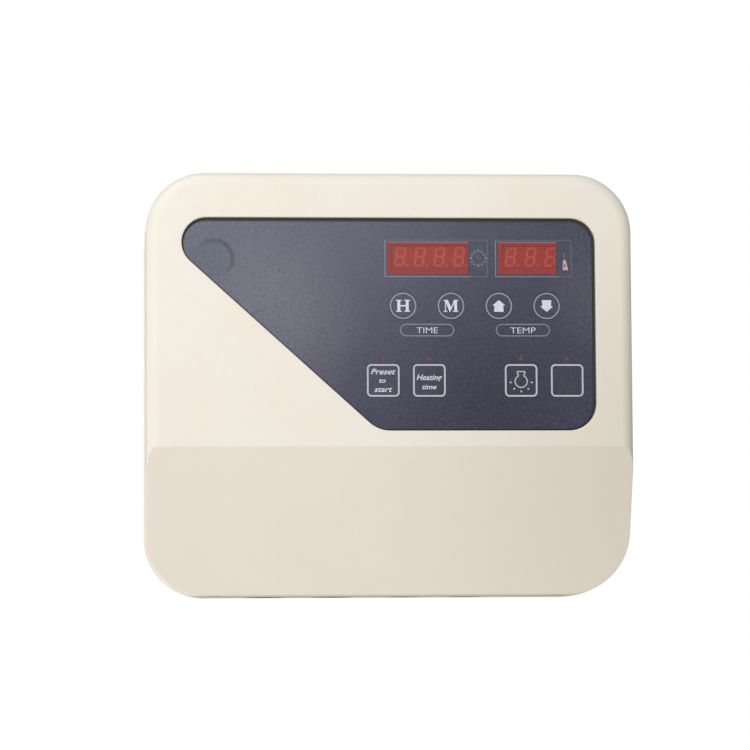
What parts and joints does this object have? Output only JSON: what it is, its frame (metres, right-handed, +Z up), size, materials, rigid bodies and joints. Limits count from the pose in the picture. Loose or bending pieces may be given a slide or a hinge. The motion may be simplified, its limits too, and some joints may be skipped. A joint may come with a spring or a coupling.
{
  "type": "wall-mounted digital heater controller",
  "caption": "Wall-mounted heater controller box with a recessed membrane key panel, red digit displays, sloping lower face and cable entries underneath.",
  "frame": {"origin": "centre of the back face that rests on the wall", "axes": "+X to the right as the controller is faced, +Y into the wall, +Z up"},
  "size_m": [0.25, 0.075, 0.216],
  "materials": {
    "case": "fine moulded texture",
    "dark_plate": "satin black",
    "film": "fine matte polyester film",
    "window_red": "red translucent filter",
    "display": "glossy display face",
    "led": "clear tinted resin",
    "black_plastic": "moulded",
    "relay_plastic": "moulded",
    "board": "solder mask",
    "steel": "zinc plated",
    "core": "laminated",
    "coil": "wound tape",
    "capacitor": "sleeved",
    "film_capacitor": "moulded",
    "varistor": "coated",
    "fuse_glass": "glass tube",
    "aluminium": "extruded",
    "terminal_green": "moulded",
    "brass": "turned",
    "clamp_plastic": "moulded",
    "rubber": "moulded",
    "ribbon": "flat cable"
  },
  "bodies": {
    "case": {"front_cover": "case", "rear_housing": "case", "panel_plate": "dark_plate", "overlay_film": "film", "time_window": "window_red", "temp_window": "window_red", "indicator_windows": "window_red", "time_display": "display", "temp_display": "display", "indicator_leds": "led", "switch_bodies": "black_plastic", "microcontroller": "black_plastic", "buzzer": "black_plastic", "display_header": "black_plastic", "power_header": "black_plastic", "bridge_rectifier": "black_plastic", "voltage_regulator": "black_plastic", "fuse_holder": "black_plastic", "relay_1": "relay_plastic", "relay_2": "relay_plastic", "relay_3": "relay_plastic", "display_board": "board", "power_board": "board", "cover_screws": "steel", "panel_screws": "steel", "display_board_screws": "steel", "power_board_screws": "steel", "cable_clamp_screws": "steel", "mains_terminal_screws": "steel", "sensor_terminal_screws": "steel", "transformer_core": "core", "transformer_coil": "coil", "electrolytic_capacitors": "capacitor", "film_capacitor": "film_capacitor", "varistor": "varistor", "fuse": "fuse_glass", "heat_sink": "aluminium", "mains_terminal_block": "terminal_green", "sensor_terminal_block": "terminal_green", "earth_terminal": "brass", "cable_clamps": "clamp_plastic", "cable_grommets": "rubber", "ribbon_cable": "ribbon"},
    "hours_key": {"key_hours": "film", "plunger_hours": "black_plastic"},
    "minutes_key": {"key_minutes": "film", "plunger_minutes": "black_plastic"},
    "temp_up_key": {"key_temp_up": "film", "plunger_temp_up": "black_plastic"},
    "temp_down_key": {"key_temp_down": "film", "plunger_temp_down": "black_plastic"},
    "preset_key": {"key_preset": "film", "plunger_preset": "black_plastic"},
    "heating_time_key": {"key_heating_time": "film", "plunger_heating_time": "black_plastic"},
    "light_key": {"key_light": "film", "plunger_light": "black_plastic"},
    "power_key": {"key_power": "film", "plunger_power": "black_plastic"}
  },
  "joints": [
    {"name": "hours_press", "type": "slide", "parent": "case", "child": "hours_key", "axis": [0, 1, 0], "range_m": [0, 0.0003], "stiffness_N_per_m": 800},
    {"name": "minutes_press", "type": "slide", "parent": "case", "child": "minutes_key", "axis": [0, 1, 0], "range_m": [0, 0.0003], "stiffness_N_per_m": 800},
    {"name": "temp_up_press", "type": "slide", "parent": "case", "child": "temp_up_key", "axis": [0, 1, 0], "range_m": [0, 0.0003], "stiffness_N_per_m": 800},
    {"name": "temp_down_press", "type": "slide", "parent": "case", "child": "temp_down_key", "axis": [0, 1, 0], "range_m": [0, 0.0003], "stiffness_N_per_m": 800},
    {"name": "preset_press", "type": "slide", "parent": "case", "child": "preset_key", "axis": [0, 1, 0], "range_m": [0, 0.0003], "stiffness_N_per_m": 800},
    {"name": "heating_time_press", "type": "slide", "parent": "case", "child": "heating_time_key", "axis": [0, 1, 0], "range_m": [0, 0.0003], "stiffness_N_per_m": 800},
    {"name": "light_press", "type": "slide", "parent": "case", "child": "light_key", "axis": [0, 1, 0], "range_m": [0, 0.0003], "stiffness_N_per_m": 800},
    {"name": "power_press", "type": "slide", "parent": "case", "child": "power_key", "axis": [0, 1, 0], "range_m": [0, 0.0003], "stiffness_N_per_m": 800}
  ]
}
